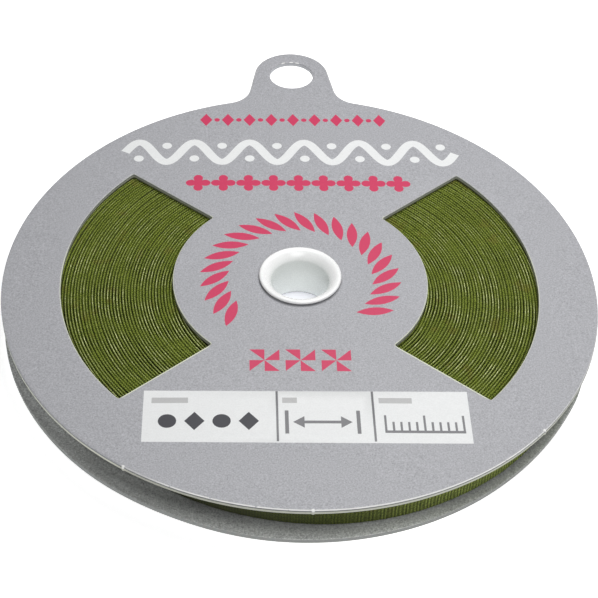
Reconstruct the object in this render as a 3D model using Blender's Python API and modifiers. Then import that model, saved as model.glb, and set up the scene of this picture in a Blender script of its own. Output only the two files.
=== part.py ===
"""Roll of bias binding: folded tape wound flat between two card discs, riveted by a white eyelet.

The part lies flat. +Z is up, and the hang tab points along +Y. The origin is the middle of the
whole outline, on the surface that the eyelet's lower lip stands on. Everything is in metres.
"""

import math

import bmesh
import bpy

# Card discs
DISC_RADIUS = 0.0475
LOWER_DISC_RADIUS = 0.0470
CARD_THICKNESS = 0.0008
CLEARANCE = 0.0003

# Hang tab of the upper card
TAB_HOLE_RADIUS = 0.0040
TAB_HOLE_REACH = 0.0548  # from the eyelet's axis to the middle of the hang hole
TAB_RADIUS = 0.0068
TAB_LEAN = math.radians(10)  # how far each side of the tab leans outwards towards the disc
TAB_FILLET = 0.0045

# Sector windows of the upper card, one to each side of the eyelet
WINDOW_INNER_RADIUS = 0.02055
WINDOW_OUTER_RADIUS = 0.03837
WINDOW_SIDE_ANGLE = math.radians(39.8)
WINDOW_SIDE_OFFSET = 0.00235  # each straight side passes this far from the eyelet's axis

# Wound tape, which lies a little off the eyelet's axis
TAPE_WIDTH = 0.0058
TURN_PITCH = 0.000475
ROLL_INNER_RADIUS = 0.0184
ROLL_OUTER_RADIUS = 0.0433
ROLL_SHIFT = 0.0021
ROLL_SHIFT_ANGLE = math.radians(-28)
BANDS = 17  # bands of about three turns that stand apart on the face of the roll
BAND_GROOVE = 0.00025
BAND_UNEVENNESS = 0.00005
BAND_PHASE = 2.1
OUT_OF_ROUND = 0.00012
TAPE_END_ANGLE = math.radians(125)  # where the outer end of the tape lies down

# Eyelet
EYELET_LIP_RADIUS = 0.0067
EYELET_LIP_THICKNESS = 0.00045
EYELET_LIP_ROUND = 0.00018
EYELET_CROWN_OUTER = 0.0063
EYELET_CROWN_INNER = 0.0056
EYELET_THROAT_RADIUS = 0.00475
EYELET_FLARE_DEPTH = 0.0016
EYELET_TUBE_RADIUS = 0.0053
EYELET_FILLET = 0.0002

# Levels and places that follow from the sizes
LOWER_CARD_Z = EYELET_LIP_THICKNESS + CLEARANCE
TAPE_Z = LOWER_CARD_Z + CARD_THICKNESS + CLEARANCE
UPPER_CARD_Z = TAPE_Z + TAPE_WIDTH + CLEARANCE
TOTAL_HEIGHT = UPPER_CARD_Z + CARD_THICKNESS + CLEARANCE + EYELET_LIP_THICKNESS
CARD_HOLE_RADIUS = EYELET_TUBE_RADIUS + CLEARANCE
TAB_TOP = TAB_HOLE_REACH + TAB_RADIUS
AXIS_Y = (DISC_RADIUS - TAB_TOP) / 2
ROLL_X = ROLL_SHIFT * math.cos(ROLL_SHIFT_ANGLE)
ROLL_Y = AXIS_Y + ROLL_SHIFT * math.sin(ROLL_SHIFT_ANGLE)

# Fineness of the round shapes
DEGREES_PER_STEP = 2.5
HOLE_STEPS = 40
ROLL_STEPS = 72
EYELET_STEPS = 56
FLARE_STEPS = 6
CORNER_STEPS = 3

FULL_TURN = 2 * math.pi


def clear_scene():
    """Removes whatever the scene holds."""
    for obj in list(bpy.data.objects):
        bpy.data.objects.remove(obj, do_unlink=True)


def new_collection(name):
    """A collection for the parts, linked to the scene."""
    collection = bpy.data.collections.new(name)
    bpy.context.scene.collection.children.link(collection)
    return collection


def finish(name, colour, roughness, coat=0.0):
    """A plain Principled material of one colour."""
    material = bpy.data.materials.new(name)
    material.use_nodes = True
    shader = material.node_tree.nodes["Principled BSDF"]
    shader.inputs["Base Color"].default_value = (*colour, 1.0)
    shader.inputs["Roughness"].default_value = roughness
    shader.inputs["Metallic"].default_value = 0.0
    shader.inputs["Coat Weight"].default_value = coat
    return material


def arc(centre, radius, start, end, steps):
    """Points along an arc, both ends included. The angles are in radians from +X."""
    points = []
    for step in range(steps + 1):
        angle = start + (end - start) * step / steps
        points.append((centre[0] + radius * math.cos(angle), centre[1] + radius * math.sin(angle)))
    return points


def steps_for(angle):
    """How many straight steps an arc of this angle takes, an even number."""
    return 2 * max(2, round(abs(math.degrees(angle)) / DEGREES_PER_STEP / 2))


def circle(centre, radius, steps):
    """Points round a full circle, without the last one, which would repeat the first."""
    return arc(centre, radius, 0.0, FULL_TURN, steps)[:-1]


def tab_fillet_centre():
    """Middle of the right hollow arc, which touches both the tab's leaning side and the disc.

    The leaning side touches the tab's round end, so the arc's middle lies TAB_RADIUS + TAB_FILLET
    to the side of the hang hole, square to that side, and then some way down along it. How far
    down follows from its distance to the eyelet's axis, DISC_RADIUS + TAB_FILLET.
    """
    side = TAB_RADIUS + TAB_FILLET
    normal = (math.cos(TAB_LEAN), math.sin(TAB_LEAN))
    down = (math.sin(TAB_LEAN), -math.cos(TAB_LEAN))
    start = (side * normal[0], TAB_HOLE_REACH + side * normal[1])
    half = start[0] * down[0] + start[1] * down[1]
    spare = start[0] ** 2 + start[1] ** 2 - (DISC_RADIUS + TAB_FILLET) ** 2
    along = -half - math.sqrt(half ** 2 - spare)
    return start[0] + along * down[0], start[1] + along * down[1]


def disc_with_tab():
    """Outline of the upper card: tab end, left hollow, disc and right hollow, anticlockwise."""
    x, y = tab_fillet_centre()
    disc_angle = math.atan2(y, x)
    side_angle = math.pi + TAB_LEAN
    hollow = arc((x, y), TAB_FILLET, math.pi + disc_angle, side_angle, CORNER_STEPS * 3)
    tab_end = arc((0.0, TAB_HOLE_REACH), TAB_RADIUS, TAB_LEAN, math.pi - TAB_LEAN,
                  steps_for(math.pi / 2))
    left_hollow = [(-px, py) for px, py in reversed(hollow)]
    round_disc = math.pi + 2 * disc_angle
    disc = arc((0.0, 0.0), DISC_RADIUS, math.pi - disc_angle, math.pi - disc_angle + round_disc,
               steps_for(round_disc))
    return hollow + tab_end + left_hollow + disc[1:-1]


def window(turn):
    """Outline of one window, turned about the eyelet's axis.

    A straight side lies at WINDOW_SIDE_ANGLE and misses the axis by WINDOW_SIDE_OFFSET, so it
    meets a circle of radius r at WINDOW_SIDE_ANGLE + asin(WINDOW_SIDE_OFFSET / r).
    """
    outer = WINDOW_SIDE_ANGLE + math.asin(WINDOW_SIDE_OFFSET / WINDOW_OUTER_RADIUS)
    inner = WINDOW_SIDE_ANGLE + math.asin(WINDOW_SIDE_OFFSET / WINDOW_INNER_RADIUS)
    outside = arc((0.0, 0.0), WINDOW_OUTER_RADIUS, turn - outer, turn + outer, steps_for(2 * outer))
    inside = arc((0.0, 0.0), WINDOW_INNER_RADIUS, turn + inner, turn - inner,
                 steps_for(4 * inner / 3))
    return outside + inside


def flat_piece(name, outlines, bottom, material, collection):
    """A flat card: the first outline, less the outlines inside it, centred on the eyelet's axis."""
    curve = bpy.data.curves.new(name, "CURVE")
    curve.dimensions = "2D"
    curve.fill_mode = "BOTH"
    curve.extrude = CARD_THICKNESS / 2
    for outline in outlines:
        spline = curve.splines.new("POLY")
        spline.points.add(len(outline) - 1)
        for point, (x, y) in zip(spline.points, outline):
            point.co = (x, y, 0.0, 1.0)
        spline.use_cyclic_u = True
    curve.materials.append(material)
    piece = bpy.data.objects.new(name, curve)
    piece.location = (0.0, AXIS_Y, bottom + CARD_THICKNESS / 2)
    collection.objects.link(piece)
    return piece


def turned_piece(name, profile, steps, place, material, collection):
    """A closed profile of (radius, height) turned about the upright axis through place."""
    mesh = bpy.data.meshes.new(name)
    count = len(profile)
    edges = [(index, (index + 1) % count) for index in range(count)]
    mesh.from_pydata([(radius, 0.0, height) for radius, height in profile], edges, [])
    mesh.materials.append(material)
    piece = bpy.data.objects.new(name, mesh)
    piece.location = (place[0], place[1], 0.0)
    collection.objects.link(piece)
    screw = piece.modifiers.new("turn", "SCREW")
    screw.axis = "Z"
    screw.angle = FULL_TURN
    screw.steps = steps
    screw.render_steps = steps
    screw.use_merge_vertices = True
    screw.merge_threshold = 0.00001
    screw.use_smooth_shade = True
    return piece


def eyelet_half():
    """Upper half of the eyelet's section, from the middle of its outer wall to that of its bore.

    Heights are counted from the eyelet's middle. The lip is a flat ring with a rounded edge, and
    the bore widens up to it along a quarter of an ellipse.
    """
    top = TOTAL_HEIGHT / 2
    lip = top - EYELET_LIP_THICKNESS
    points = []
    for step in range(CORNER_STEPS + 1):
        angle = math.pi - (math.pi / 2) * step / CORNER_STEPS
        points.append((EYELET_TUBE_RADIUS + EYELET_FILLET * (1 + math.cos(angle)),
                       lip - EYELET_FILLET * (1 - math.sin(angle))))
    points.append((EYELET_LIP_RADIUS - EYELET_LIP_ROUND, lip))
    points.append((EYELET_LIP_RADIUS, lip + EYELET_LIP_ROUND))
    rise = top - lip - EYELET_LIP_ROUND
    for step in range(1, CORNER_STEPS + 1):
        angle = (math.pi / 2) * step / CORNER_STEPS
        spread = EYELET_LIP_RADIUS - EYELET_CROWN_OUTER
        points.append((EYELET_CROWN_OUTER + spread * math.cos(angle),
                       top - rise * (1 - math.sin(angle))))
    for step in range(FLARE_STEPS + 1):
        angle = (math.pi / 2) * (1 - step / FLARE_STEPS)
        spread = EYELET_CROWN_INNER - EYELET_THROAT_RADIUS
        points.append((EYELET_CROWN_INNER - spread * math.cos(angle),
                       top - EYELET_FLARE_DEPTH * (1 - math.sin(angle))))
    return points


def eyelet_profile():
    """Both halves of the eyelet's section, down its outside and up its bore."""
    middle = TOTAL_HEIGHT / 2
    upper = eyelet_half()
    lower = [(radius, -height) for radius, height in reversed(upper)]
    section = list(reversed(upper)) + list(reversed(lower))
    return [(radius, middle + height) for radius, height in section]


def roll_profile():
    """Section of the wound ring: a plain outer wall, base and inner wall, and a banded face."""
    top = TAPE_Z + TAPE_WIDTH
    band = (ROLL_OUTER_RADIUS - ROLL_INNER_RADIUS) / BANDS
    points = [(ROLL_OUTER_RADIUS, top - BAND_GROOVE), (ROLL_OUTER_RADIUS, TAPE_Z),
              (ROLL_INNER_RADIUS, TAPE_Z), (ROLL_INNER_RADIUS, top - BAND_GROOVE)]
    for index in range(BANDS):
        crest = top - BAND_UNEVENNESS * (1 - math.sin(BAND_PHASE * index))
        points.append((ROLL_INNER_RADIUS + (index + 0.5) * band, crest))
        if index < BANDS - 1:
            points.append((ROLL_INNER_RADIUS + (index + 1) * band, top - BAND_GROOVE))
    return points


def evaluated_mesh(piece):
    """The piece's mesh as its modifiers leave it, with its seam merged."""
    graph = bpy.context.evaluated_depsgraph_get()
    mesh = bpy.data.meshes.new_from_object(piece.evaluated_get(graph))
    shape = bmesh.new()
    shape.from_mesh(mesh)
    bmesh.ops.remove_doubles(shape, verts=shape.verts, dist=0.000001)
    shape.to_mesh(mesh)
    shape.free()
    return mesh


def loosen_winding(piece):
    """Pushes the roll slightly out of round, and lets its outer wall grow by one turn.

    The push is three gentle lobes that fade towards the inner wall. The outer wall grows evenly
    from the tape's outer end round to it again, where it falls back by one thickness of tape.
    """
    piece.data = evaluated_mesh(piece)
    piece.modifiers.clear()
    for point in piece.data.vertices:
        radius = math.hypot(point.co.x, point.co.y)
        angle = math.atan2(point.co.y, point.co.x)
        share = (radius - ROLL_INNER_RADIUS) / (ROLL_OUTER_RADIUS - ROLL_INNER_RADIUS)
        push = OUT_OF_ROUND * share * math.cos(3 * angle)
        if share > 1 - 0.1 / BANDS:
            grown = ((angle - TAPE_END_ANGLE) / FULL_TURN) % 1.0
            push += TURN_PITCH * (grown - 0.5)
        point.co.x *= (radius + push) / radius
        point.co.y *= (radius + push) / radius
    piece.data.update()


def main():
    """Builds the four pieces."""
    clear_scene()
    parts = new_collection("bias_binding_roll")
    grey_board = finish("grey_board", (0.40, 0.40, 0.43), 0.62)
    olive_tape = finish("olive_tape", (0.095, 0.140, 0.014), 0.88)
    white_plastic = finish("white_plastic", (0.86, 0.87, 0.86), 0.28, coat=0.3)

    axis = (0.0, AXIS_Y)
    eyelet_hole = circle((0.0, 0.0), CARD_HOLE_RADIUS, HOLE_STEPS)
    hang_hole = circle((0.0, TAB_HOLE_REACH), TAB_HOLE_RADIUS, HOLE_STEPS)
    lower_disc = circle((0.0, 0.0), LOWER_DISC_RADIUS, steps_for(FULL_TURN))
    windows = [window(0.0), window(math.pi)]

    flat_piece("upper_card", [disc_with_tab(), *windows, eyelet_hole, hang_hole],
               UPPER_CARD_Z, grey_board, parts)
    flat_piece("lower_card", [lower_disc, eyelet_hole], LOWER_CARD_Z, grey_board, parts)
    roll = turned_piece("tape_roll", roll_profile(), ROLL_STEPS, (ROLL_X, ROLL_Y), olive_tape, parts)
    turned_piece("eyelet", eyelet_profile(), EYELET_STEPS, axis, white_plastic, parts)
    bpy.context.view_layer.update()
    loosen_winding(roll)


main()
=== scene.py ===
"""Looks of a roll of bias binding: folded tape between a printed and a plain card, and an eyelet.

Everything is in metres in the frame's own axes: the reel lies flat, +Z is up out of the printed
face, and the hang tab points along +Y. Flat outlines are drawn about the eyelet's axis and moved
there last. The printing is drawn in millimetres, as on a printer's sheet, and scaled once.
"""

import math

import bpy
import numpy as np
from mathutils import Matrix, Vector
from mathutils.geometry import delaunay_2d_cdt


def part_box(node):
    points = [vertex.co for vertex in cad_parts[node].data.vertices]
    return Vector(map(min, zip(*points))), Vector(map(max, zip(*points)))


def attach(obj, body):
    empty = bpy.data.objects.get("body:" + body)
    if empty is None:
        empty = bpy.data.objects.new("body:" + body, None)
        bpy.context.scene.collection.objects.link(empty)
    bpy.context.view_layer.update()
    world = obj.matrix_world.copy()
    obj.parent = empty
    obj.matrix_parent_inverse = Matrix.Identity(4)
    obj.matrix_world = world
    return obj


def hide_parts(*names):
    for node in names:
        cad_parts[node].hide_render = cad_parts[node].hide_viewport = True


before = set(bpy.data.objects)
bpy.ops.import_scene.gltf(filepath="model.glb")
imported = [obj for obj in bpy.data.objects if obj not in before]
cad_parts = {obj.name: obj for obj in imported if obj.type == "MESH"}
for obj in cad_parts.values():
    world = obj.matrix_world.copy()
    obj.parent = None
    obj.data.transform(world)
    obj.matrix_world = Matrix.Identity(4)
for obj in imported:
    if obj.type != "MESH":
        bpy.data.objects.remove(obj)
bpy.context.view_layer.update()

MM = 0.001
FULL_TURN = 2 * math.pi

# Levels and the eyelet's axis, read from the frame
eyelet_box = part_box("eyelet")
AXIS = (np.array(eyelet_box[0]) + np.array(eyelet_box[1]))[:2] / 2
EYELET_TOP = eyelet_box[1].z
UPPER_CARD_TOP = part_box("upper_card")[1].z
UPPER_CARD_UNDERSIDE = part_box("upper_card")[0].z
LOWER_CARD_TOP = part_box("lower_card")[1].z
BOARD_THICKNESS = UPPER_CARD_TOP - UPPER_CARD_UNDERSIDE
TAPE_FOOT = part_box("tape_roll")[0].z

# Cards
DISC_RADIUS = 0.04772
DISC_SWELL = 0.00014
DISC_SWELL_ANGLE = math.radians(-41)
LOWER_DISC_RADIUS = 0.04743
LOWER_DISC_SHIFT = (-0.00030, 0.00046)
LOWER_RIM_WAVES = ((-115.5, 14.0, -0.00031), (-46.0, 14.0, -0.00011), (-23.0, 6.0, 0.00022))
EYELET_HOLE_RADIUS = 0.0056
HANG_HOLE_RADIUS = 0.0040
HANG_HOLE_REACH = 0.0548
TAB_RADIUS = 0.0068
TAB_LEAN = math.radians(10)
TAB_FILLET = 0.0045
WINDOW_INNER_RADIUS = 0.02055
WINDOW_OUTER_RADIUS = 0.03837
WINDOW_SIDE_ANGLE = math.radians(39.8)
WINDOW_SIDE_OFFSET = 0.00235
WINDOW_CORNER = 0.00032
RIGHT_WINDOW_GAIN = 0.00014

# Steps between the points of each arc, in radians
HOLLOW_STEP = 0.08
TAB_STEP = 0.06
DISC_STEP = 0.018
OUTER_ARC_STEP = 0.022
INNER_ARC_STEP = 0.036

# An outline's corners past SHARP_TURN are rounded, with this many points each
SHARP_TURN = math.radians(25)
CORNER_POINTS = 5

# Cut edge of the board: a flat margin, a crushed upper edge, the wall and a small lower edge
EDGE_MARGIN = 0.0005
EDGE_ROUND = 0.00014
EDGE_ROUND_BELOW = 0.00005
EDGE_STEPS = 4

# Rise of each card's rim, in millimetres: even, tilt along x and y, bend about y, twist
UPPER_BOW = (-0.115, 0.0, 0.0, -0.403, 0.117)
LOWER_BOW = (0.08, 0.134, -0.027, 0.298, 0.239)

# Filling of the cards' faces. Points closer than MERGED_WITHIN, in millimetres, are made one
FACE_GRID = 0.0035
FACE_GRID_MARGIN = 0.0015
MERGED_WITHIN = 1e-6

# Small torn points that the cutting die leaves on the upper card's rim
NICK_ANGLES = (-123.9, -89.7, -42.7)
NICK_HALF_WIDTH = 0.00026
NICK_REACH = 0.00014
NICK_POINTS = 9

# Wound tape
TAPE_PITCH = 0.000475
ROLL_INNER_RADIUS = 0.01745
ROLL_OUTER_RADIUS = 0.0433
ROLL_SHIFT = 0.0021
ROLL_SHIFT_ANGLE = math.radians(-38)
ROLL_CENTRE = ROLL_SHIFT * np.array([math.cos(ROLL_SHIFT_ANGLE), math.sin(ROLL_SHIFT_ANGLE)])
TAPE_END_ANGLE = math.radians(125)
TAPE_CLEARANCE = 0.00018
TAPE_CROWN = UPPER_CARD_UNDERSIDE - TAPE_CLEARANCE
TAPE_THICKNESS = 0.00045
FOLD_DEPTH = 0.00026
FOLD_SHARE_TIGHT = 0.50
FOLD_SHARE_ADDED_OPEN = 0.78
FOOT_BEVEL = 0.0002
STEPS_PER_TURN = 144

# Unevenness of the winding. A lift is its size, its seed and its waves per turn
OUT_OF_ROUND = 0.00014
SMALL_LOBES = 0.000035
SWAY = 0.000042
SWAY_LOST_FAR_SIDE = 0.45
FINE_SWAY = 0.000012
TAPE_LIFTS = ((0.00005, 5, (0.137, 0.371, 0.613)), (0.00004, 7, (1.29, 2.71, 4.43)),
              (0.00002, 9, (11.3, 17.9, 23.3)))
THICKNESS_DRIFT = 0.03

# Eyelet
LIP_RADIUS = 0.00664
LIP_THICKNESS = 0.00050
LIP_ROUND = 0.00016
CROWN_OUTER = 0.0063
EYELET_SHIFT = (-0.00006, 0.00021)
THROAT_RADIUS = 0.00468
FLARE_DEPTH = 0.0014
TUBE_RADIUS = 0.0053
LOWER_NECK = 0.00555
LOWER_FLARE_DEPTH = 0.0028
EYELET_FILLET = 0.0002
EYELET_STEPS = 144
ROUND_POINTS = 7
BELL_POINTS = 25

# Camera, counted from the eyelet's axis on the upper card's face
CAMERA_AZIMUTH = math.radians(-3.72)
CAMERA_ELEVATION = math.radians(42.98)
CAMERA_DISTANCE = 0.2606
CAMERA_ROLL = math.radians(2.78)
CAMERA_AIM = (-0.00041, -0.00484)
FOCAL_PIXELS = 1618.2
IMAGE_PIXELS = 598
SENSOR_WIDTH = 36.0

# Stage. A light is its name, place, width and power, and faces the origin
FLOOR_HALF = 1.5
FLOOR_POINTS = 9
SURROUNDINGS = 0.17
LIGHTS = (("key", (0.035, 0.045, 0.19), 0.14, 0.29), ("front", (0.07, -0.30, 0.32), 0.24, 0.645))


# ---------------------------------------------------------------- flat outlines

def spread(start, end, step):
    """Evenly spaced values from start to end, both included, no further apart than step."""
    return np.linspace(start, end, max(2, math.ceil(abs(end - start) / step) + 1))


def directions(angles):
    """Unit vectors at the angles: (cos a, sin a)."""
    return np.stack([np.cos(angles), np.sin(angles)], 1)


def arc(centre, radius, angles):
    """Points at the angles on a circle: centre + radius (cos a, sin a)."""
    return np.asarray(centre) + radius * directions(angles)


def circle(centre, radius, count):
    """Points round a circle, anticlockwise, without the last one, which would be the first."""
    return arc(centre, radius, np.arange(count) * FULL_TURN / count)


def turned(points, angle):
    """The points turned about the origin: x cos a - y sin a, x sin a + y cos a."""
    c, s = math.cos(angle), math.sin(angle)
    return points @ np.array([[c, s], [-s, c]])


def lengths(vectors):
    """Length of each vector, in a column."""
    return np.linalg.norm(vectors, axis=1, keepdims=True)


def softened(points, radius):
    """The outline with each sharp corner replaced by an arc that touches both of its sides.

    The arc starts and ends radius x tan(turn / 2) from the corner.
    """
    before = points - np.roll(points, 1, 0)
    after = np.roll(points, -1, 0) - points
    before, after = before / lengths(before), after / lengths(after)
    turn = np.arctan2(before[:, 0] * after[:, 1] - before[:, 1] * after[:, 0], (before * after).sum(1))
    corners = np.flatnonzero(np.abs(turn) > SHARP_TURN)
    runs = []
    for here, following in zip(corners, np.roll(corners, -1)):
        reach = radius * math.tan(abs(turn[here]) / 2)
        side = math.copysign(radius, turn[here])
        start = points[here] - reach * before[here]
        centre = start + side * np.array([-before[here, 1], before[here, 0]])
        heading = math.atan2(*(start - centre)[::-1])
        runs.append(arc(centre, radius, heading + np.linspace(0, turn[here], CORNER_POINTS)))
        runs.append(points[np.arange(here + 1, following + (len(points) if following <= here else 0))
                           % len(points)])
    return np.concatenate(runs)


def hollow_centre():
    """Middle of the right hollow, an arc that touches the tab's leaning side and the disc.

    It lies TAB_RADIUS + TAB_FILLET beside the hang hole, square to that side, then down along it
    as far as makes it DISC_RADIUS + TAB_FILLET from the eyelet's axis.
    """
    beside = (TAB_RADIUS + TAB_FILLET) * np.array([math.cos(TAB_LEAN), math.sin(TAB_LEAN)])
    start = beside + (0.0, HANG_HOLE_REACH)
    down = np.array([math.sin(TAB_LEAN), -math.cos(TAB_LEAN)])
    half = start @ down
    spare = start @ start - (DISC_RADIUS + TAB_FILLET) ** 2
    return start - (half + math.sqrt(half ** 2 - spare)) * down


def upper_outline():
    """Right hollow, tab end, left hollow and disc, anticlockwise, with more points at the nicks.

    The disc swells by DISC_SWELL x cos(angle from DISC_SWELL_ANGLE), where that is above 0. Its
    own first and last points are left out, because the hollows end there.
    """
    centre = hollow_centre()
    meets = math.atan2(centre[1], centre[0])
    hollow = arc(centre, TAB_FILLET, spread(math.pi + meets, math.pi + TAB_LEAN, HOLLOW_STEP))
    tab_end = arc((0, HANG_HOLE_REACH), TAB_RADIUS, spread(TAB_LEAN, math.pi - TAB_LEAN, TAB_STEP))
    left_hollow = hollow[::-1] * (-1, 1)
    nicks = np.radians(NICK_ANGLES) + FULL_TURN
    half = NICK_HALF_WIDTH / DISC_RADIUS
    near_nicks = (nicks[:, None] + np.linspace(-half, half, NICK_POINTS)).ravel()
    even = spread(math.pi - meets, FULL_TURN + meets, DISC_STEP)
    clear = np.abs(even[:, None] - nicks).min(1) > half
    angles = np.sort(np.concatenate([even[clear], near_nicks]))[1:-1]
    radius = DISC_RADIUS + DISC_SWELL * np.clip(np.cos(angles - DISC_SWELL_ANGLE), 0, None)
    return np.concatenate([hollow, tab_end, left_hollow, directions(angles) * radius[:, None]])


def nick_steps(outline, nicks):
    """Step out of each point of a rim at its nicks, given as angles in degrees.

    It is NICK_REACH x (1 - (d / NICK_HALF_WIDTH)^2) at a distance d from a nick's middle.
    """
    radius = lengths(outline)
    away = np.abs(np.arctan2(outline[:, 1:], outline[:, :1]) - np.radians(nicks)) * radius
    share = 1 - (away.min(1, initial=1.0, keepdims=True) / NICK_HALF_WIDTH) ** 2
    return NICK_REACH * np.clip(share, 0, None) * (radius > DISC_RADIUS - MM) * outline / radius


def lower_outline():
    """The lower disc, anticlockwise: its radius + a sum of depth x exp(-((a - middle) / width)^2).

    Each of LOWER_RIM_WAVES is the middle, the width and the depth of a flat or a proud place.
    """
    angles = np.arange(360) * FULL_TURN / 360 - math.pi
    reach = sum(depth * np.exp(-((np.degrees(angles) - middle) / width) ** 2)
                for middle, width, depth in LOWER_RIM_WAVES)
    return LOWER_DISC_SHIFT + directions(angles) * (LOWER_DISC_RADIUS + reach)[:, None]


def window(turn, first_gain=0.0):
    """One window, clockwise, so that the board lies on the left of its outline.

    A straight side misses the axis by WINDOW_SIDE_OFFSET, so it meets a circle of radius r at
    WINDOW_SIDE_ANGLE + asin(WINDOW_SIDE_OFFSET / r). The side at the lower angle lies first_gain
    further out.
    """
    def meets(radius, gain=0.0):
        return WINDOW_SIDE_ANGLE + math.asin((WINDOW_SIDE_OFFSET + gain) / radius)

    outer = turn + spread(-meets(WINDOW_OUTER_RADIUS, first_gain), meets(WINDOW_OUTER_RADIUS),
                          OUTER_ARC_STEP)
    inner = turn + spread(meets(WINDOW_INNER_RADIUS), -meets(WINDOW_INNER_RADIUS, first_gain),
                          INNER_ARC_STEP)
    outline = np.concatenate([arc((0, 0), WINDOW_OUTER_RADIUS, outer),
                              arc((0, 0), WINDOW_INNER_RADIUS, inner)])
    return softened(outline, WINDOW_CORNER)[::-1]


# ---------------------------------------------------------------- printing, in millimetres

def diamond(x, y, width, height):
    """A lozenge about (x, y)."""
    return np.array([(x + width / 2, y), (x, y + height / 2), (x - width / 2, y), (x, y - height / 2)])


def oblong(left, bottom, right, top):
    """An upright rectangle."""
    return np.array([(left, bottom), (right, bottom), (right, top), (left, top)])


def rosette(x, y, radius):
    """Four round petals: radius x (0.42 + 0.58 |cos 2a|^0.8) at the angle a."""
    angles = np.arange(64) * FULL_TURN / 64
    reach = radius * (0.42 + 0.58 * np.abs(np.cos(2 * angles)) ** 0.8)
    return (x, y) + reach[:, None] * directions(angles)


def strand(angle, radius, length, width, lean):
    """One strand of a twisted cord that runs round the axis: a leaf with sides 1 - s^2.

    The leaf lies across the cord, leaning from the outward direction, and s runs from -1 to 1
    along it.
    """
    s = np.linspace(-1, 1, 13)
    half = width / 2 * (1 - s ** 2)
    along = length / 2 * s
    leaf = np.concatenate([np.stack([along, -half], 1), np.stack([along, half], 1)[-2:0:-1]])
    return turned(turned(leaf, lean) + (radius, 0), angle)


def rickrack(left, right, y, waves, swing, width):
    """A wavy braid: y + swing x sin(waves x full turn), made width wide square to its run."""
    share = np.linspace(0, 1, waves * 28 + 1)
    x = left + (right - left) * share
    phase = waves * FULL_TURN * share
    middle = np.stack([x, y + swing * np.sin(phase)], 1)
    slope = swing * np.cos(phase) * waves * FULL_TURN / (right - left)
    across = np.stack([-slope, np.ones_like(slope)], 1)
    across *= width / 2 / lengths(across)
    return np.concatenate([middle - across, (middle + across)[::-1]])


def pinwheel(x, y, size):
    """A quilt block: four triangles, each half of one quarter of the square."""
    quarter = np.array([(0, 0), (size / 2, 0), (size / 2, size / 2)])
    return [turned(quarter, k * math.pi / 2) + (x, y) for k in range(4)]


def rule(left, bottom, count, spacing):
    """A measuring rule as one comb: a bar with count marks on it, every fifth mark the tallest."""
    bar, thick, tall, short = 0.5, 0.34, 3.0, 1.7
    middles = left + thick / 2 + spacing * np.arange(count)
    tops = bottom + bar + np.where(np.arange(count) % 5 == 0, tall, short)
    feet = np.full(count, bottom + bar)
    lefts, rights = middles - thick / 2, middles + thick / 2
    corners = ((rights, feet), (rights, tops), (lefts, tops), (lefts, feet))
    teeth = np.stack([np.stack(corner, 1) for corner in corners], 1)
    return np.concatenate([[(left, bottom), (rights[-1], bottom)], teeth[::-1].reshape(-1, 2)])


def double_arrow(left, right, y):
    """An arrow with a head at each end, for a width."""
    head, spread_out, shaft = 1.7, 1.15, 0.28
    half = np.array([(left, y), (left + head, y - spread_out), (left + head, y - shaft),
                     (right - head, y - shaft), (right - head, y - spread_out), (right, y)])
    return np.concatenate([half, (half * (1, -1) + (0, 2 * y))[-2:0:-1]])


def label_panel():
    """The white panel with its three cells, plain signs in place of writing."""
    foot, head, level = -34.9, -24.9, -30.9
    panel = np.array([(-24.24, -34.94), (24.23, -35.18), (24.28, -24.81), (-24.20, -24.74)])
    shapes = [("white", panel)]
    for divider in (-4.4, 9.9):
        shapes.append(("mid grey", oblong(divider - 0.17, foot, divider + 0.17, head)))
    for left, right in ((-23.0, -17.6), (-3.6, -1.4), (10.8, 15.8)):
        shapes.append(("light grey", oblong(left, -27.3, right, -26.2)))
    for k, x in enumerate((-20.6, -16.6, -12.6, -8.6)):
        sign = diamond(x, level, 3.0, 3.6) if k % 2 else circle((x, level), 1.35, 28)
        shapes.append(("dark grey", sign))
    for bar in (-3.0, 7.6):
        shapes.append(("mid grey", oblong(bar - 0.28, -33.4, bar + 0.28, -28.8)))
    shapes.append(("mid grey", double_arrow(-2.1, 6.7, -31.1)))
    shapes.append(("mid grey", rule(11.4, -33.2, 11, 1.16)))
    return shapes


def printing():
    """Every inked shape of the upper card's face, as (ink, outline), later ones on top."""
    left, right, level, waves = -29.6, 28.2, 32.2, 6
    shapes = [("white", rickrack(left, right, level, waves, 2.7, 1.65))]
    for k in range(2 * waves):
        x = left + (right - left) * (k + 0.5) / (2 * waves)
        shapes.append(("white", circle((x, level + (1.75 if k % 2 else -1.75)), 0.85, 24)))
    for k in range(17):
        x = -15.6 + 1.94 * k
        shapes.append(("crimson", circle((x, 41.3), 0.5, 14) if k % 2 else diamond(x, 41.3, 2.2, 3.5)))
    for k in range(9):
        shapes.append(("crimson", rosette(-16.8 + 4.3 * k, 23.85, 2.1)))
    for k in range(22):
        angle = math.radians(216.0 - 11.86 * k)
        shapes.append(("crimson", strand(angle, 13.8, 6.0, 1.75, math.radians(38))))
    for k in range(3):
        shapes += [("crimson", triangle) for triangle in pinwheel(-6.1 + 5.5 * k, -18.4, 4.6)]
    return [(ink, outline * MM) for ink, outline in shapes + label_panel()]


# ---------------------------------------------------------------- meshes

def grid_faces(rows, columns, close_rows=False, close_columns=False):
    """Quads of a grid of points. They face along (step to the next row) x (step to the next column)."""
    row, column = np.meshgrid(np.arange(rows - (not close_rows)), np.arange(columns - (not close_columns)),
                              indexing="ij")
    below, right = (row + 1) % rows, (column + 1) % columns
    start, next_start = row * columns, below * columns
    quads = [start + column, next_start + column, next_start + right, start + right]
    return np.stack(quads, -1).reshape(-1, 4)


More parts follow.
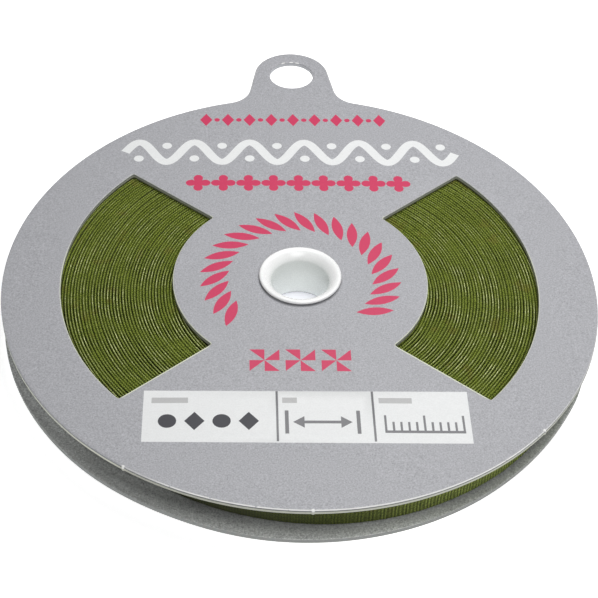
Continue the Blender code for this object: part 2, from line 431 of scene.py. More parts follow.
def add_piece(name, points, faces, finishes, node):
    """A mesh piece that stands for a node, rides on the one body and takes the finishes given."""
    mesh = bpy.data.meshes.new(name)
    mesh.from_pydata(points.tolist(), [], faces)
    mesh.shade_smooth()
    for finish in finishes:
        mesh.materials.append(finish)
    piece = bpy.data.objects.new(name, mesh)
    bpy.context.scene.collection.objects.link(piece)
    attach(piece, "root")
    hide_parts(node)
    return piece


def store(piece, name, values):
    """Stores a number on each point of a piece's mesh, for its finish to read."""
    data = piece.data.attributes.new(name, "FLOAT", "POINT").data
    data.foreach_set("value", values.astype(np.float32).ravel())


def edge_section(crushed):
    """Section of the board's cut edge, as (distance in from the outline, drop below the face).

    crushed is the radius of its upper edge.
    """
    quarter = np.linspace(0, math.pi / 2, EDGE_STEPS + 1)
    upper = crushed * np.stack([1 - np.sin(quarter), 1 - np.cos(quarter)], 1)
    lower = np.stack([EDGE_ROUND_BELOW * (1 - np.cos(quarter[::2])),
                      BOARD_THICKNESS - EDGE_ROUND_BELOW * (1 - np.sin(quarter[::2]))], 1)
    return np.concatenate([[(EDGE_MARGIN, 0)], upper, lower, [(EDGE_MARGIN, BOARD_THICKNESS)]])


def mitres(outline):
    """For each corner, the step that moves both its sides one unit left: (a + b) / (1 + a . b)."""
    side = np.roll(outline, -1, 0) - outline
    side /= lengths(side)
    after = np.stack([-side[:, 1], side[:, 0]], 1)
    before = np.roll(after, 1, 0)
    return (after + before) / (1 + (after * before).sum(1))[:, None]


def bowed(bow, x, y):
    """Rise of a card at a place counted from the axis, from its rim's rise in the bow.

    With u and v the place in disc radii, it is even (u^2 + v^2) + tilt (u, v) + bend (u^2 - v^2)
    + twist 2uv. Past the rim it stays what it is at the rim.
    """
    even, tilt_x, tilt_y, bend, twist = bow
    u, v = x / DISC_RADIUS, y / DISC_RADIUS
    beyond = np.maximum(u * u + v * v, 1.0)
    round_part = (even * (u * u + v * v) + bend * (u * u - v * v) + twist * 2 * u * v) / beyond
    return MM * (round_part + (tilt_x * u + tilt_y * v) / np.sqrt(beyond))


def face_grid():
    """Loose points over the disc, in rows FACE_GRID apart, so that a face can bend."""
    steps = np.arange(-DISC_RADIUS, DISC_RADIUS, FACE_GRID)
    x, y = (side.ravel() for side in np.meshgrid(steps, steps))
    return np.stack([x, y], 1)[np.hypot(x, y) < DISC_RADIUS - FACE_GRID_MARGIN]


def filled(loops, shapes):
    """Triangles between the first loop and the loops inside it, cut along every shape.

    Returns the points, the triangles, the number of the last shape that each lies in, or -1, and
    for each point the input point that it is, or -1.
    """
    outlines = loops + shapes
    starts = np.cumsum([0] + [len(outline) for outline in outlines])
    rounds = [list(range(a, b)) for a, b in zip(starts, starts[1:])]
    for k, outline in enumerate(outlines):
        x, y = outline.T
        if (x * np.roll(y, -1) - y * np.roll(x, -1)).sum() < 0:
            rounds[k].reverse()
    points = np.concatenate(outlines + [face_grid()]) / MM
    # 0 keeps every triangle, and True asks which input points and outlines each result comes from
    made = delaunay_2d_cdt([Vector(p) for p in points.tolist()], [], rounds, 0, MERGED_WITHIN, True)
    places, triangles, sources, inside = made[0], made[2], made[3], made[5]
    holes = set(range(1, len(loops)))
    kept = [(t, max(ids) - len(loops)) for t, ids in zip(triangles, inside)
            if 0 in ids and not holes & set(ids)]
    origin = np.array([ids[0] if ids else -1 for ids in sources])
    return (np.array([tuple(p) for p in places]) * MM, [t for t, _ in kept],
            np.array([max(shape, -1) for _, shape in kept]), origin)


def add_card(name, outlines, nicks, top, crushed, bow, inked, finishes, node):
    """A die-cut card as one closed mesh, with each ink shape cut into its printed face.

    Every outline has the board on its left. The edge section is carried along each of them: a
    point of it lies its inset along the corner's mitre, and its drop below the face. The nicks
    stand proud of the edge and die out over its margin. The two flat faces are filled between the
    first and between the last rings of the sections. All of it is then bowed.
    """
    section = edge_section(crushed)
    points, faces, first, last, count = [], [], [], [], 0
    for outline in outlines:
        inset = section[:, 0, None, None]
        proud = (1 - inset / EDGE_MARGIN) * nick_steps(outline, nicks)
        ring = outline + inset * mitres(outline) + proud
        height = np.broadcast_to(top - section[:, 1, None, None], ring.shape[:2] + (1,))
        points.append(np.concatenate([ring, height], 2).reshape(-1, 3))
        faces += (grid_faces(len(section), len(outline), close_columns=True) + count).tolist()
        first.append(count + np.arange(len(outline)))
        last.append(count + (len(section) - 1) * len(outline) + np.arange(len(outline)))
        count += len(points[-1])
    wall = np.concatenate(points)
    finish_of = [0] * len(faces)
    inks = [finish.name for finish in finishes]
    flats = ((first, top, [shape for _, shape in inked]), (last, top - BOARD_THICKNESS, []))
    for rings, level, shapes in flats:
        flat, triangles, shape, origin = filled([wall[ring, :2] for ring in rings], shapes)
        known = np.concatenate(rings)
        on_ring = (origin >= 0) & (origin < len(known))
        index = np.where(on_ring, known[np.clip(origin, 0, len(known) - 1)], -1)
        fresh = np.setdiff1d(np.array(triangles), np.flatnonzero(index >= 0))
        index[fresh] = count + np.arange(len(fresh))
        points.append(np.concatenate([flat[fresh], np.full((len(fresh), 1), level)], 1))
        count += len(fresh)
        corners = index[np.array(triangles)]
        faces += (corners if level == top else corners[:, ::-1]).tolist()
        finish_of += [inks.index(inked[k][0]) if k >= 0 else 0 for k in shape]
    place = np.concatenate(points)
    depth = top - place[:, 2]
    place[:, 2] += bowed(bow, place[:, 0], place[:, 1])
    piece = add_piece(name, place + (*AXIS, 0), faces, finishes, node)
    piece.data.polygons.foreach_set("material_index", np.array(finish_of, np.int32))
    store(piece, "depth", depth)
    inset = np.concatenate([np.repeat(section[:, 0], len(outline)) for outline in outlines])
    store(piece, "inset", np.append(inset, np.full(count - len(inset), EDGE_MARGIN)))


def drift(run, seed, waves):
    """A smooth uneven value between about -1 and 1 along the tape, a sum of sines.

    waves are numbers of waves per turn. None is whole, so neighbouring turns differ.
    """
    random = np.random.default_rng(seed)
    phases = random.uniform(0, FULL_TURN, len(waves))
    weights = random.uniform(0.6, 1.0, len(waves))
    value = (weights * np.sin(np.asarray(waves) * run[:, None] + phases)).sum(1)
    return value / weights.sum() * 1.6


def looseness(x, y):
    """How open the winding stands at a place, 0 to 1: 1/2 + 0.42 x a sum of 16 plane waves.

    They are 3.2 to 11 mm long, and their sum is divided by its usual size. It all fades to a
    fifth over the far side, where the turns lie tight.
    """
    random = np.random.default_rng(31)
    wavelengths = np.geomspace(0.0032, 0.011, 16)
    value = 0.0
    for length in wavelengths:
        heading, phase = random.uniform(0, FULL_TURN, 2)
        reach = x * math.cos(heading) + y * math.sin(heading)
        value = value + np.sin(FULL_TURN * reach / length + phase)
    far = np.clip((y + 0.008) / 0.030, 0, 1)
    opened = np.clip(0.5 + 0.42 * value / math.sqrt(len(wavelengths) / 2), 0, 1)
    return opened * (1 - 0.8 * far * far * (3 - 2 * far))


def tape_middle(run, angle):
    """Radius of the tape's middle line, with run the angle wound so far and angle its direction.

    It is inner radius + pitch x (turns so far + 1/2), pushed slightly out of round by three and
    by seven lobes that fade inwards, and by two drifts, of which the larger calms on the far side.
    """
    middle = ROLL_INNER_RADIUS + TAPE_PITCH * (run / FULL_TURN + 0.5)
    share_out = (middle - ROLL_INNER_RADIUS) / (ROLL_OUTER_RADIUS - ROLL_INNER_RADIUS)
    middle = middle - OUT_OF_ROUND * share_out * np.cos(3 * angle)
    middle = middle + SMALL_LOBES * np.sin(7 * angle + 0.11 * run / FULL_TURN) * share_out
    far = np.clip(np.sin(angle), 0, 1)
    middle = middle + SWAY * (1 - SWAY_LOST_FAR_SIDE * far) * drift(run, 3, (5.04, 8.07, 11.05, 17.06))
    return middle + FINE_SWAY * drift(run, 4, (2.37, 5.81, 9.43, 13.7))


def tape_section():
    """Section of the folded tape: (share of its thickness outwards, drop from the crown).

    A fold's drop is FOLD_DEPTH x (1 - sqrt(1 - (2 x share)^2.2)), a blunt round.
    """
    share = np.array([0.5, 0.45, 0.28, 0.0, -0.28, -0.45, -0.5])
    drop = FOLD_DEPTH * (1 - np.sqrt(np.clip(1 - np.abs(2 * share) ** 2.2, 0, 1)))
    return share, drop


def add_tape(finish):
    """The tape as one closed strip, wound anticlockwise from the inside out.

    The folded section stands on the middle line, closed below by a foot with bevelled corners. It
    rises, sinks and swells a little as the tape does in a real winding, drops deeper between the
    turns where they stand open, and follows the upper card. The foot follows the lower one.
    """
    turns = (ROLL_OUTER_RADIUS - ROLL_INNER_RADIUS) / TAPE_PITCH - 0.5
    run = np.linspace(0, turns * FULL_TURN, round(turns * STEPS_PER_TURN) + 1)
    angle = TAPE_END_ANGLE - run[-1] + run
    middle = tape_middle(run, angle)
    lift = sum(size * drift(run, seed, waves) for size, seed, waves in TAPE_LIFTS)
    thick = TAPE_THICKNESS * (1 + THICKNESS_DRIFT * drift(run, 11, (0.83, 3.17, 7.61)))
    loose = looseness(ROLL_CENTRE[0] + middle * np.cos(angle), ROLL_CENTRE[1] + middle * np.sin(angle))

    share, drop = tape_section()
    foot = TAPE_FOOT + np.array([FOOT_BEVEL, 0.0, 0.0, FOOT_BEVEL])
    out = np.concatenate([share, [-0.5, -0.2, 0.2, 0.5]])
    opened = FOLD_SHARE_TIGHT + FOLD_SHARE_ADDED_OPEN * loose
    upper = (TAPE_CROWN + lift)[:, None] - drop * opened[:, None]
    height = np.concatenate([upper, np.broadcast_to(foot, (len(run), len(foot)))], 1)
    radius = middle[:, None] + thick[:, None] * out
    x = ROLL_CENTRE[0] + radius * np.cos(angle)[:, None]
    y = ROLL_CENTRE[1] + radius * np.sin(angle)[:, None]
    width = len(share)
    height[:, :width] += bowed(UPPER_BOW, x, y)[:, :width]
    height[:, width:] += bowed(LOWER_BOW, x, y)[:, width:]
    points = np.stack([AXIS[0] + x, AXIS[1] + y, height], -1)
    rows, columns = height.shape
    faces = grid_faces(rows, columns, close_columns=True).tolist()
    faces.append(list(range(columns)))
    faces.append(list(range((rows - 1) * columns, rows * columns))[::-1])
    piece = add_piece("wound_tape", points.reshape(-1, 3), faces, [finish], "tape_roll")

    step = np.linalg.norm(np.diff(points, axis=1), axis=2)
    across = np.concatenate([np.zeros((rows, 1)), np.cumsum(step, 1)], 1)
    across -= across[:, width // 2, None]
    along = np.cumsum(np.append(0, np.diff(run)) * middle)[:, None]
    # how strong the crest's wear and painted highlight are along the tape
    wear_and_highlight = 0.5 + 0.5 * drift(run, 21, (0.43, 1.37, 2.91, 6.3))
    for name, values in (("along", along), ("across", across), ("fold", 2 * out),
                         ("loose", loose[:, None]), ("wear_and_highlight", wear_and_highlight[:, None])):
        store(piece, name, np.broadcast_to(values, across.shape))


def eyelet_end(neck, flare_depth, flare):
    """One end of the eyelet's section, from the middle of its outer wall to that of its bore.

    Heights are counted from the eyelet's middle. neck is the tube's outer radius where it meets
    the lip, which has a rounded edge. The bore falls from the crown as flare_depth x flare(u),
    with u from 0 at the crown to 1 at the throat.
    """
    top = EYELET_TOP / 2
    lip = top - LIP_THICKNESS
    quarter = np.linspace(0, math.pi / 2, ROUND_POINTS)
    fillet = np.stack([neck + EYELET_FILLET * (1 - np.cos(quarter)),
                       lip - EYELET_FILLET * (1 - np.sin(quarter))], 1)
    under = np.stack([LIP_RADIUS - LIP_ROUND * (1 - np.sin(quarter)),
                      lip + LIP_ROUND * (1 - np.cos(quarter))], 1)
    rise = LIP_THICKNESS - LIP_ROUND
    crown = np.stack([CROWN_OUTER + (LIP_RADIUS - CROWN_OUTER) * np.cos(quarter),
                      top - rise * (1 - np.sin(quarter))], 1)[1:]
    inward = np.linspace(0, 1, BELL_POINTS)[1:] ** 0.7
    bell = np.stack([CROWN_OUTER - (CROWN_OUTER - THROAT_RADIUS) * inward,
                     top - flare_depth * flare(inward)], 1)
    return np.concatenate([[(TUBE_RADIUS, 0.0)], fillet, under, crown, bell, [(THROAT_RADIUS, 0.0)]])


def add_eyelet(finish):
    """The eyelet: the section of its two ends, the lower one turned over, carried round the axis.

    The upper bell falls as u^2.1, and the lower one as 1 - sqrt(1 - u^2.6).
    """
    upper = eyelet_end(TUBE_RADIUS, FLARE_DEPTH, lambda u: u ** 2.1)
    lower = eyelet_end(LOWER_NECK, LOWER_FLARE_DEPTH, lambda u: 1 - np.sqrt(1 - u ** 2.6)) * (1, -1)
    section = np.concatenate([upper[::-1], lower[1:-1]])
    angles = np.arange(EYELET_STEPS) * FULL_TURN / EYELET_STEPS
    radius = section[:, 0, None]
    x, y = AXIS + EYELET_SHIFT
    height = np.broadcast_to(EYELET_TOP / 2 + section[:, 1, None], (len(section), EYELET_STEPS))
    points = np.stack([x + radius * np.cos(angles), y + radius * np.sin(angles), height], -1)
    faces = grid_faces(len(section), EYELET_STEPS, close_rows=True, close_columns=True).tolist()
    add_piece("turned_eyelet", points.reshape(-1, 3), faces, [finish], "eyelet")


# ---------------------------------------------------------------- finishes

class Value:
    """A number or colour that varies over a surface. Arithmetic on a number adds Math nodes."""

    def __init__(self, finish, socket):
        self.finish = finish
        self.socket = socket

    def math(self, operation, *numbers):
        """One Math node of this operation on the numbers."""
        return self.finish.node("ShaderNodeMath", {"operation": operation}, dict(enumerate(numbers)))

    def __add__(self, other):
        return self.math("ADD", self, other)

    def __sub__(self, other):
        return self.math("SUBTRACT", self, other)

    def __mul__(self, other):
        return self.math("MULTIPLY", self, other)

    def __rsub__(self, other):
        return self.math("SUBTRACT", other, self)

    __radd__ = __add__
    __rmul__ = __mul__

    def root(self):
        """Square root of the value."""
        return self.math("SQRT", self)

    def sine(self):
        """Sine of the value, in radians."""
        return self.math("SINE", self)

    def size(self):
        """The value without its sign."""
        return self.math("ABSOLUTE", self)

    def least(self, other):
        """The smaller of two."""
        return self.math("MINIMUM", self, other)

    def between(self, low, high):
        """0 at low, 1 at high, with a smooth start and end."""
        return self.finish.node("ShaderNodeMapRange", {"interpolation_type": "SMOOTHSTEP"},
                                {"Value": self, "From Min": low, "From Max": high})


class Finish:
    """A material that is being made up."""

    def __init__(self, name):
        self.material = bpy.data.materials.new(name)
        self.material.use_nodes = True
        self.tree = self.material.node_tree
        self.shader = self.tree.nodes["Principled BSDF"]
        self.place = self.node("ShaderNodeTexCoord", out="Object")

    def feed(self, socket, value):
        """Links a varying value to a socket, or sets a fixed one on it."""
        if isinstance(value, Value):
            self.tree.links.new(value.socket, socket)
        else:
            socket.default_value = value

    def node(self, kind, settings=None, sockets=None, out=0):
        """A node with its settings set first, then its sockets given values or links."""
        made = self.tree.nodes.new(kind)
        for name, value in (settings or {}).items():
            setattr(made, name, value)
        for name, value in (sockets or {}).items():
            self.feed(made.inputs[name], value)
        return Value(self, made.outputs[out])

    def noise(self, scale, detail=2.0, stretch=None):
        """Soft noise from 0 to 1 with about `scale` grains per metre."""
        place = self.place
        if stretch:
            place = self.node("ShaderNodeVectorMath", {"operation": "MULTIPLY"}, {0: place, 1: stretch})
        return self.node("ShaderNodeTexNoise", None, {"Vector": place, "Scale": scale, "Detail": detail})

    def attribute(self, name):
        """A number stored on the mesh."""
        return self.node("ShaderNodeAttribute", {"attribute_name": name}, out="Fac")

    def axis(self, name):
        """The X, Y or Z of the place."""
        return self.node("ShaderNodeSeparateXYZ", None, {0: self.place}, out=name)

    def plan(self):
        """The place's x and y, counted from the eyelet's axis."""
        return self.axis("X") - AXIS[0], self.axis("Y") - AXIS[1]

    def mix(self, share, one, other):
        """A colour from one, at share 0, to the other, at share 1."""
        return self.node("ShaderNodeMix", {"data_type": "RGBA"},
                         {"Factor": share, "A": colour(one), "B": colour(other)}, out=2)

    def scaled(self, tint, factor):
        """A colour, fixed or varying, made lighter or darker by a factor."""
        return self.node("ShaderNodeVectorMath", {"operation": "SCALE"}, {0: tint, "Scale": factor})

    def bump(self, height, distance):
        """A normal from a height, in shares of the distance in metres."""
        return self.node("ShaderNodeBump", None, {"Height": height, "Distance": distance, "Strength": 1.0})

    def link(self, **sockets):
        """Feeds the shader's sockets, named with _ for a space."""
        for name, value in sockets.items():
            self.feed(self.shader.inputs[name.replace("_", " ")], value)
        return self.material


def colour(value):
    """A colour with its alpha, or the link that it already is."""
    return value if isinstance(value, Value) else (*value, 1.0)


def distance(x, y):
    """Distance in plan from where x and y are 0: the root of x^2 + y^2."""
    return (x * x + y * y).root()


INKS = {
    "white": (0.81, 0.82, 0.82),
    "crimson": (0.61, 0.038, 0.115),
    "light grey": (0.50, 0.50, 0.50),
    "mid grey": (0.20, 0.20, 0.21),
    "dark grey": (0.045, 0.045, 0.055),
}
BOARD_GREY = (0.395, 0.397, 0.420)
# bare pale board: for the torn points, the edge line (partly wear, partly painted highlight) and painted
# glints
BOARD_WORN_AND_GLINT = (0.85, 0.85, 0.83)
# cream edge line at the windows, partly wear and partly painted highlight
BOARD_CREAM = (0.77, 0.80, 0.62)
LOWER_GREY = (0.392, 0.402, 0.388)
UPPER_WALL = ((0.20, 0.21, 0.21), (0.56, 0.57, 0.49))
LOWER_WALL = ((0.29, 0.30, 0.29), (0.27, 0.28, 0.27))
HANG_HOLE_WALL = (0.58, 0.59, 0.62)
OLIVE_DARK = (0.034, 0.054, 0.0045)
OLIVE_LIGHT = (0.205, 0.252, 0.036)
# pale crest of the tape, partly worn yarn and partly painted highlight
OLIVE_WEAR_AND_HIGHLIGHT = (0.84, 0.87, 0.48)
OLIVE_BROWN = (0.15, 0.11, 0.025)
# grey of the tape's flat sides, a painted shade
TAPE_SIDE_SHADE_GREY = (0.13, 0.13, 0.11)
PLASTIC_WHITE = (0.97, 0.975, 0.97)
# painted shade inside the tube, a little green as painted light from the tape
PLASTIC_SHADED = (0.76, 0.785, 0.765)
# darker painted shade near the eyelet's foot
PLASTIC_FOOT_SHADE = (0.30, 0.31, 0.31)
FLOOR_WHITE = (0.93, 0.93, 0.93)
# the floor's glow under the reel, lowered as a painted shadow
GLOW_IN_REEL_SHADOW = (0.72, 0.73, 0.80)
GLOW_ROUND_REEL = (1.0, 1.0, 1.0)
FLOOR_GLOW = 0.585

# Height of each finish's relief
INK_RELIEF = 0.000004
BOARD_RELIEF = 0.00003
CLOTH_RELIEF = 0.00006
PLASTIC_RELIEF = 0.00002

# Marks on the cards: how strong the pale line along the cut edge is, partly wear and partly
# painted highlight, the x of each painted glint in the hang hole, and the circle that bounds the
# painted light on the lower card, centred behind the axis
EDGE_WEAR_AND_HIGHLIGHT = 0.95
HANG_HOLE_GLINTS = (-0.0014, 0.00007, 0.0012)
LIT_CIRCLE_BACK = 0.0069
LIT_CIRCLE_RADII = (0.0496, 0.0509)

# Threads of the tape: the width of a yarn, and the spacing of the ribs on the flat sides
YARN_WIDTH = 0.00030
RIB_SPACING = 0.00056


def printed_ink(name):
    """Ink on the coated board: flat, with a faint mottle and the board's grain under it."""
    finish = Finish(name)
    grain = finish.noise(4200, 3)
    mottle = finish.noise(900, 2)
    tone = 0.88 + 0.18 * grain + 0.06 * mottle
    return finish.link(Base_Color=finish.scaled(INKS[name], tone),
                       Roughness=0.44 + 0.12 * grain, Normal=finish.bump(grain, INK_RELIEF))


class CoatedBoard(Finish):
    """Grey coated board, as both cards have it: a grained face and a cut wall of two plies.

    wall holds the colours of the upper and the lower ply, both torn to fibres. The faces and the
    plies are told apart by the depth below the upper face.
    """

    def __init__(self, name, wall):
        super().__init__(name)
        self.depth = self.attribute("depth")
        self.grain = self.noise(3800, 3)
        self.tone = 0.17 + 0.83 * self.grain + 0.78 * self.noise(5600, 2) + 0.08 * self.noise(420, 3)
        self.fibres = self.noise(900, 3, stretch=(1.0, 1.0, 9.0))
        self.smear = self.noise(700, 2) - 0.5
        self.lower_ply = (self.depth + 0.00010 * self.smear).between(0.00030, 0.00042)
        torn = 0.72 + 0.30 * self.noise(5200, 2) + 0.26 * self.fibres
        self.pulp = self.scaled(self.mix(self.lower_ply, *wall), torn)

    def cut_wall(self, below_face):
        """1 on the cut wall alone, from what is 1 everywhere below the upper face."""
        return below_face * (1 - self.depth.between(BOARD_THICKNESS - 0.00006, BOARD_THICKNESS - 0.00002))

    def finished(self, body, in_wall):
        """The material with this colour. Its wall is rougher than its faces, and fibrous."""
        rough = 0.46 + 0.10 * self.grain + 0.30 * in_wall
        relief = 0.25 * self.grain + 0.5 * self.fibres * in_wall
        return self.link(Base_Color=body, Roughness=rough, Normal=self.bump(relief, BOARD_RELIEF))


def plain_board(name):
    """Finish of the lower card, dustier than the upper one.

    It has painted shade that darkens it towards the tape's foot and, on the whole, towards the
    left. It has painted light at the far left, and at the left within LIT_CIRCLE_RADII, where it
    comes out from under the upper rim.
    """
    board = CoatedBoard(name, LOWER_WALL)
    x, y = board.plan()
    clear = distance(x - ROLL_CENTRE[0], y - ROLL_CENTRE[1]) - ROLL_OUTER_RADIUS
    # painted shade, darker towards the left and towards the tape's foot
    shade = 0.60 + 0.40 * x.between(-0.026, -0.002) + 0.28 * x.between(-0.002, 0.013)
    shade = (shade - 0.22 * x.between(0.015, 0.026)) * (0.78 + 0.92 * clear.between(0.0, 0.0030))
    # painted light at the far left, and at the left where the card comes out from under the upper rim
    shade = shade * (1 + 0.20 * (1 - x.between(-0.040, -0.028)))
    lit = 1 - distance(x, y - LIT_CIRCLE_BACK).between(*LIT_CIRCLE_RADII)
    lift = (0.55 + 0.65 * x.between(-0.032, -0.026)) * (1 - x.between(-0.022, -0.016))
    shade = shade * (1 + lit * lift)
    dust = 1.5 * board.tone + 0.9 * board.noise(2300, 2) - 0.95
    face = board.scaled(board.scaled(LOWER_GREY, dust), shade)
    in_wall = board.cut_wall(board.depth.between(0.00002, 0.00006))
    return board.finished(board.mix(in_wall, face, board.pulp), in_wall)


def torn_points(x, y):
    """1 at each torn point on the rim, 0 elsewhere, by the distance from it in plan."""
    nearest = 1.0
    for angle in np.radians(NICK_ANGLES):
        away = distance(x - DISC_RADIUS * math.cos(angle), y - DISC_RADIUS * math.sin(angle))
        nearest = away.least(nearest)
    return 1 - nearest.between(0.6 * NICK_HALF_WIDTH, 1.2 * NICK_HALF_WIDTH)


def printed_board(name):
    """Finish of the upper card, under its inks, with a pale line along its upper cut edge.

    The line is partly wear and partly painted highlight, white on the rim and cream at the windows,
    and the torn points are bare pulp. The rim's wall has painted shade and the windows' upper ply
    painted light, both but for their left ends, and the windows' walls have painted shade at their
    foot. The hang hole's wall is punched smooth, with three painted glints. The face has a painted
    shadow round the eyelet's lip.
    """
    board = CoatedBoard(name, UPPER_WALL)
    depth, inset, lower_ply = board.depth, board.attribute("inset"), board.lower_ply
    x, y = board.plan()
    reach = distance(x, y)
    on_rim = reach.between(0.0400, 0.0410)
    above = y - HANG_HOLE_REACH
    at_hole = 1 - distance(x, above).between(HANG_HOLE_RADIUS + 0.0003, HANG_HOLE_RADIUS + 0.0006)

    in_wall = board.cut_wall((depth + 0.00006 * board.smear).between(0.00012, 0.00018))
    # painted shade at the foot of the windows' walls and on the rim's wall, and painted light on the
    # windows' upper ply
    foot = depth.between(0.00045, 0.00070) * (1 - on_rim)
    rim_shade = 0.33 - 0.17 * x.between(-0.02, 0.03) - 0.34 * (1 - x.between(-0.030, -0.024))
    lit = (1 - on_rim) * (1 - lower_ply) * x.between(-0.031, -0.024)
    pulp = board.scaled(board.pulp, (1 - 0.55 * foot) * (1 - rim_shade * on_rim) * (1 + 0.42 * lit))
    pulp = board.mix(at_hole, pulp, HANG_HOLE_WALL)
    # a painted shadow ring round the eyelet's lip
    lip_shadow = 0.25 * (1 - reach.between(LIP_RADIUS, LIP_RADIUS + 0.00020))
    body = board.scaled(board.mix(in_wall, board.scaled(BOARD_GREY, board.tone), pulp), 1 - lip_shadow)

    # a pale line along the upper cut edge, partly wear and partly painted highlight
    past_inner_arc = reach.between(0.0209, 0.0215)
    straight = past_inner_arc * (1 - reach.between(0.0376, 0.0382)) * (1 - y.between(-0.011, -0.009))
    line = 1 - (inset - 0.00013 * straight).between(0.00010, 0.00018)
    line = line * (1 - depth.between(0.00010, 0.00014))
    rim_wear_and_highlight = x.between(-0.0275, -0.0262) * board.noise(1100, 2).between(0.28, 0.36)
    rim_wear_and_highlight = rim_wear_and_highlight * (0.50 + 0.50 * x.between(-0.024, -0.019)) * (1 - 0.55 * x.between(0.030, 0.040))
    lost_far = 0.52 - 0.42 * (1 - past_inner_arc)
    window_wear_and_highlight = 0.72 - lost_far * y.between(0.004, 0.010) + 0.20 * straight
    wear_and_highlight = EDGE_WEAR_AND_HIGHLIGHT * (on_rim * (1 - at_hole) * rim_wear_and_highlight + (1 - on_rim) * window_wear_and_highlight)
    body = board.mix(line * wear_and_highlight, body, board.mix(on_rim, BOARD_CREAM, BOARD_WORN_AND_GLINT))
    torn = torn_points(x, y) * (1 - inset.between(0.0003, 0.0005)) * (1 - lower_ply)
    body = board.mix(torn, body, BOARD_WORN_AND_GLINT)

    # three painted glints at the hang hole's far edge
    aside = 1.0
    for glint in HANG_HOLE_GLINTS:
        aside = (x - glint).size().least(aside)
    glints = at_hole * line * (1 - aside.between(0.00020, 0.00045)) * above.between(0.003, 0.0035)
    return board.finished(board.mix(glints, body, BOARD_WORN_AND_GLINT), in_wall)


def bias_cloth(name):
    """Olive cotton cut on the bias: plain weave at 45 degrees to the tape's run, browned in places.

    With a and b the distances across the two sets of yarns in yarn widths, one set shows where
    sin(pi a) sin(pi b) is above 0 and the other where it is below. The crest of the fold is pale in
    short dashes, partly worn yarn and partly painted highlight, and the gaps between the turns have
    painted shade. The flat sides are ribbed across the tape and have painted shade, greyer and
    darker at the left. The turns have a painted shadow at the windows' near outer arcs.
    """
    finish = Finish(name)
    along, across = finish.attribute("along"), finish.attribute("across")
    fold, loose = finish.attribute("fold").size(), finish.attribute("loose")
    x, y = finish.plan()
    per_yarn = math.pi / (YARN_WIDTH * math.sqrt(2))
    sway = finish.noise(800, 2) - 0.5
    a = (along + across) * per_yarn + 2.2 * sway
    b = (along - across) * per_yarn - 2.2 * sway
    weave = a.sine() * b.sine()
    yarns = weave.size()
    speckle = finish.noise(4600, 3)
    light = 0.40 * yarns + 1.05 * speckle + 0.22 * (weave.between(-0.3, 0.3) - 0.5)
    cloth = finish.mix(light.between(0.51, 0.81), OLIVE_DARK, OLIVE_LIGHT)

    # the crest's pale dashes, partly worn yarn and partly painted highlight
    dashes = finish.noise(2600, 2).between(0.40, 0.58) * finish.noise(620, 2).between(0.34, 0.60)
    glints = 0.45 + 1.2 * finish.noise(6800, 1).between(0.38, 0.62)
    wear_and_highlight = 0.25 + 0.75 * finish.attribute("wear_and_highlight").between(0.25, 0.75)
    crest = (1 - fold.between(0.02, 0.28)) * glints * (0.32 + 0.68 * dashes)
    crest = crest * (0.22 + 1.08 * loose) * wear_and_highlight
    cloth = finish.mix(crest, cloth, OLIVE_WEAR_AND_HIGHLIGHT)
    cloth = finish.mix(0.30 * finish.noise(330, 1).between(0.60, 0.74), cloth, OLIVE_BROWN)
    # painted shade on the flat sides, greyer and darker at the left
    side = fold.between(0.97, 1.0)
    cloth = finish.mix(side * (0.55 - 0.35 * x.between(-0.014, 0.006)), cloth, TAPE_SIDE_SHADE_GREY)

    # painted shade between the turns
    gap_shade = fold.between(0.58, 0.95) * (0.36 + 0.74 * loose)
    ribs = (along * (FULL_TURN / RIB_SPACING) + 3.0 * sway).sine()
    ribs = ribs * x.between(-0.006, 0.018) * (0.4 + 1.2 * speckle)
    shade = (0.86 + 0.28 * finish.noise(160, 2)) * (1 - 0.95 * gap_shade * (1 - side))
    shade = shade * (1 - side * (0.34 - 0.30 * ribs))
    shade = shade * (1 - side * (0.30 - 1.00 * x.between(0.0, 0.028)) * (0.35 + 1.3 * speckle))
    # painted shadow on the turns beside the windows' near outer arcs
    arc_shadow = distance(x, y).between(WINDOW_OUTER_RADIUS - 0.0010, WINDOW_OUTER_RADIUS - 0.0003)
    shade = shade * (1 - 0.36 * arc_shadow * (1 - side) * (1 - y.between(-0.008, 0.006)))
    height = 0.6 * yarns + 0.4 * speckle + 0.5 * side * ribs
    return finish.link(Base_Color=finish.scaled(cloth, shade), Roughness=0.92,
                       Normal=finish.bump(height, CLOTH_RELIEF), Specular_IOR_Level=0.1)


def moulded_plastic(name):
    """White glossy plastic, with painted shade inside the tube, a little green as painted light from
    the tape nearby, and darker painted shade near its foot.
    """
    finish = Finish(name)
    sheen = finish.noise(260, 2)
    fine = finish.noise(5200, 2)
    depth = EYELET_TOP - finish.axis("Z")
    # painted shade inside the tube and, darker, near its foot
    body = finish.mix(depth.between(0.0006, 0.0019), PLASTIC_WHITE, PLASTIC_SHADED)
    body = finish.mix(depth.between(EYELET_TOP - 0.0012, EYELET_TOP - 0.0005), body, PLASTIC_FOOT_SHADE)
    return finish.link(Base_Color=finish.scaled(body, 0.985 + 0.03 * sheen), Roughness=0.22 + 0.10 * fine,
                       Coat_Weight=0.35, Coat_Roughness=0.08, Normal=finish.bump(sheen, PLASTIC_RELIEF))


def floor_paper(name):
    """Plain pale floor that glows like a studio table lit from below, with a painted shadow: it
    glows less where the reel stands.
    """
    finish = Finish(name)
    haze = finish.noise(6, 2)
    # painted shadow: the floor glows less under the reel
    out_of_reel_shadow = distance(*finish.plan()).between(0.006, 0.044)
    return finish.link(Base_Color=finish.scaled(FLOOR_WHITE, 0.99 + 0.01 * haze), Roughness=0.9,
                       Emission_Color=finish.mix(out_of_reel_shadow, GLOW_IN_REEL_SHADOW, GLOW_ROUND_REEL),
                       Emission_Strength=FLOOR_GLOW)


# ---------------------------------------------------------------- stage

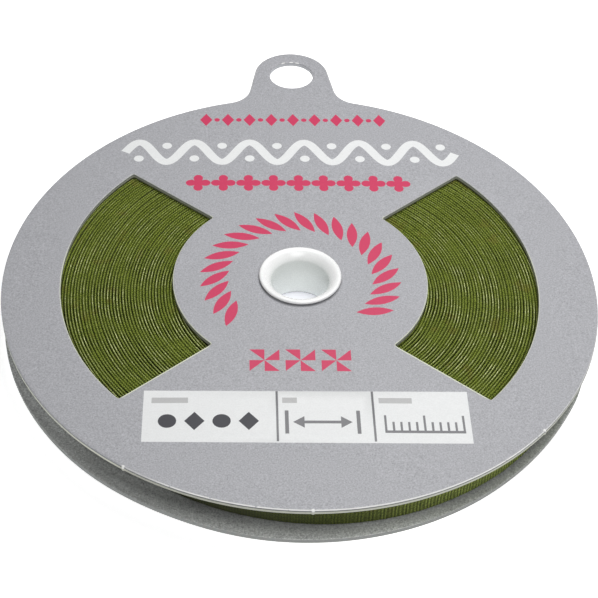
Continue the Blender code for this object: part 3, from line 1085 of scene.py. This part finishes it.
def add_floor():
    """A wide pale floor under the reel: a flat grid, z = 0."""
    steps = np.linspace(-FLOOR_HALF, FLOOR_HALF, FLOOR_POINTS)
    x, y = np.meshgrid(steps, steps, indexing="ij")
    points = np.stack([x, y, np.zeros_like(x)], -1).reshape(-1, 3)
    mesh = bpy.data.meshes.new("floor")
    mesh.from_pydata(points.tolist(), [], grid_faces(FLOOR_POINTS, FLOOR_POINTS).tolist())
    mesh.materials.append(floor_paper("floor_paper"))
    floor = bpy.data.objects.new("floor", mesh)
    bpy.context.scene.collection.objects.link(floor)


def add_lights():
    """Even white surroundings, a soft light above and a little behind, and a broad one in front."""
    world = bpy.data.worlds.new("surroundings")
    world.use_nodes = True
    background = world.node_tree.nodes["Background"]
    background.inputs["Color"].default_value = (1.0, 1.0, 1.0, 1.0)
    background.inputs["Strength"].default_value = SURROUNDINGS
    bpy.context.scene.world = world
    for name, place, width, power in LIGHTS:
        lamp = bpy.data.lights.new(name, "AREA")
        lamp.size = width
        lamp.energy = power
        light = bpy.data.objects.new(name, lamp)
        light.location = place
        light.rotation_mode = "QUATERNION"
        light.rotation_quaternion = (-Vector(place)).to_track_quat("-Z", "Y")
        bpy.context.scene.collection.objects.link(light)
    bpy.context.scene.view_settings.view_transform = "Standard"


def add_camera():
    """The camera at the photograph's place, aimed at CAMERA_AIM and then rolled."""
    target = Vector((AXIS[0], AXIS[1], UPPER_CARD_TOP))
    back = Vector((math.sin(CAMERA_AZIMUTH) * math.cos(CAMERA_ELEVATION),
                   -math.cos(CAMERA_AZIMUTH) * math.cos(CAMERA_ELEVATION), math.sin(CAMERA_ELEVATION)))
    place = target + CAMERA_DISTANCE * back
    heading = target + Vector((*CAMERA_AIM, 0)) - place
    lens = bpy.data.cameras.new("camera")
    lens.sensor_width = SENSOR_WIDTH
    lens.lens = FOCAL_PIXELS / IMAGE_PIXELS * SENSOR_WIDTH
    lens.clip_start, lens.clip_end = 0.01, 10.0
    camera = bpy.data.objects.new("camera", lens)
    turn = heading.to_track_quat("-Z", "Y").to_matrix() @ Matrix.Rotation(CAMERA_ROLL, 3, "Z")
    camera.matrix_world = Matrix.Translation(place) @ turn.to_4x4()
    bpy.context.scene.collection.objects.link(camera)
    bpy.context.scene.camera = camera


# ---------------------------------------------------------------- the object

upper_board = printed_board("printed grey board")
lower_board = plain_board("plain grey board")
hub_hole = circle((0, 0), EYELET_HOLE_RADIUS, 96)[::-1]
hang_hole = circle((0, HANG_HOLE_REACH), HANG_HOLE_RADIUS, 72)[::-1]
upper_loops = [upper_outline(), window(0.0, RIGHT_WINDOW_GAIN), window(math.pi), hub_hole, hang_hole]
add_card("printed_card", upper_loops, NICK_ANGLES, UPPER_CARD_TOP, EDGE_ROUND, UPPER_BOW, printing(),
         [upper_board, *map(printed_ink, INKS)], "upper_card")
add_card("plain_card", [lower_outline(), hub_hole], (), LOWER_CARD_TOP, EDGE_ROUND_BELOW, LOWER_BOW, [],
         [lower_board], "lower_card")
add_tape(bias_cloth("olive bias cloth"))
add_eyelet(moulded_plastic("white moulded plastic"))
add_floor()
add_lights()
add_camera()
